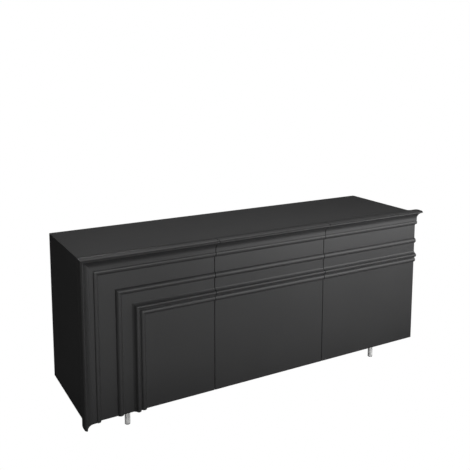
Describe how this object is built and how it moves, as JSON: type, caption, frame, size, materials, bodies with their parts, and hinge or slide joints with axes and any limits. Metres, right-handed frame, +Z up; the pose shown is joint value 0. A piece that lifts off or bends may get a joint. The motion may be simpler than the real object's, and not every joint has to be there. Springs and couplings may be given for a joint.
{
  "type": "sideboard",
  "caption": "Low black lacquered storage cabinet on short metal legs, with moulded fronts: outer doors over shelves and a middle pull-out with drawer boxes.",
  "frame": {"origin": "centre of the footprint on the floor", "axes": "+X along the length to the right seen from the front, +Y towards the back, +Z up; the fronts face -Y"},
  "size_m": [1.8782, 0.577, 0.8313],
  "materials": {
    "black_lacquer": "satin black lacquer on fibreboard",
    "interior_board": "matte black melamine",
    "drawer_wood": "black stained, matte lacquered",
    "leg_metal": "satin",
    "steel_hardware": "zinc plated",
    "dowel_wood": "plain beech",
    "pad_plastic": "matte",
    "catch_plastic": "matte"
  },
  "bodies": {
    "carcass": {"top_panel": "black_lacquer", "bottom_panel": "black_lacquer", "left_side_panel": "black_lacquer", "right_side_panel": "black_lacquer", "back_panel": "interior_board", "left_partition": "interior_board", "right_partition": "interior_board", "left_shelf": "interior_board", "right_shelf": "interior_board", "shelf_pins": "steel_hardware", "carcass_dowels": "dowel_wood", "cornice_return_top": "black_lacquer", "cornice_return_side": "black_lacquer", "front_left_leg": "leg_metal", "front_right_leg": "leg_metal", "rear_left_leg": "leg_metal", "rear_right_leg": "leg_metal", "leg_plates": "steel_hardware", "leg_screws": "steel_hardware", "foot_pads": "pad_plastic", "left_lower_hinge_plate": "steel_hardware", "left_upper_hinge_plate": "steel_hardware", "right_lower_hinge_plate": "steel_hardware", "right_upper_hinge_plate": "steel_hardware", "hinge_screws": "steel_hardware", "left_door_catch": "catch_plastic", "right_door_catch": "catch_plastic", "runner_outer_members": "steel_hardware", "back_panel_screws": "steel_hardware"},
    "left_door": {"left_door_board": "black_lacquer", "left_door_cornice_top": "black_lacquer", "left_door_cornice_side": "black_lacquer", "left_door_torus_top": "black_lacquer", "left_door_torus_side": "black_lacquer", "left_door_double_bead_top": "black_lacquer", "left_door_double_bead_side": "black_lacquer", "left_door_pins": "steel_hardware", "left_door_strike": "steel_hardware"},
    "right_door": {"right_door_board": "black_lacquer", "right_door_cornice": "black_lacquer", "right_door_torus": "black_lacquer", "right_door_double_bead": "black_lacquer", "right_door_pins": "steel_hardware", "right_door_strike": "steel_hardware"},
    "runner_middle": {"runner_middle_members": "steel_hardware"},
    "middle_drawer": {"middle_front_board": "black_lacquer", "middle_front_cornice": "black_lacquer", "middle_front_torus": "black_lacquer", "middle_front_double_bead": "black_lacquer", "lower_drawer_left_side": "drawer_wood", "lower_drawer_right_side": "drawer_wood", "lower_drawer_inner_front": "drawer_wood", "lower_drawer_back": "drawer_wood", "lower_drawer_bottom": "drawer_wood", "upper_drawer_left_side": "drawer_wood", "upper_drawer_right_side": "drawer_wood", "upper_drawer_inner_front": "drawer_wood", "upper_drawer_back": "drawer_wood", "upper_drawer_bottom": "drawer_wood", "runner_inner_members": "steel_hardware"}
  },
  "joints": [
    {"name": "left_door_hinge", "type": "hinge", "parent": "carcass", "child": "left_door", "pos_m": [-0.92485, -0.2245, 0.1245], "axis": [0, 0, -1], "range_deg": [0, 90]},
    {"name": "right_door_hinge", "type": "hinge", "parent": "carcass", "child": "right_door", "pos_m": [0.93315, -0.2245, 0.1245], "axis": [0, 0, 1], "range_deg": [0, 90]},
    {"name": "middle_drawer_slide", "type": "slide", "parent": "carcass", "child": "middle_drawer", "axis": [0, -1, 0], "range_m": [0, 0.38]},
    {"name": "runner_middle_slide", "type": "slide", "parent": "carcass", "child": "runner_middle", "axis": [0, -1, 0], "range_m": [0, 0.19]}
  ],
  "couplings": [
    {"joint": "runner_middle_slide", "follows": "middle_drawer_slide", "ratio": 0.5}
  ]
}
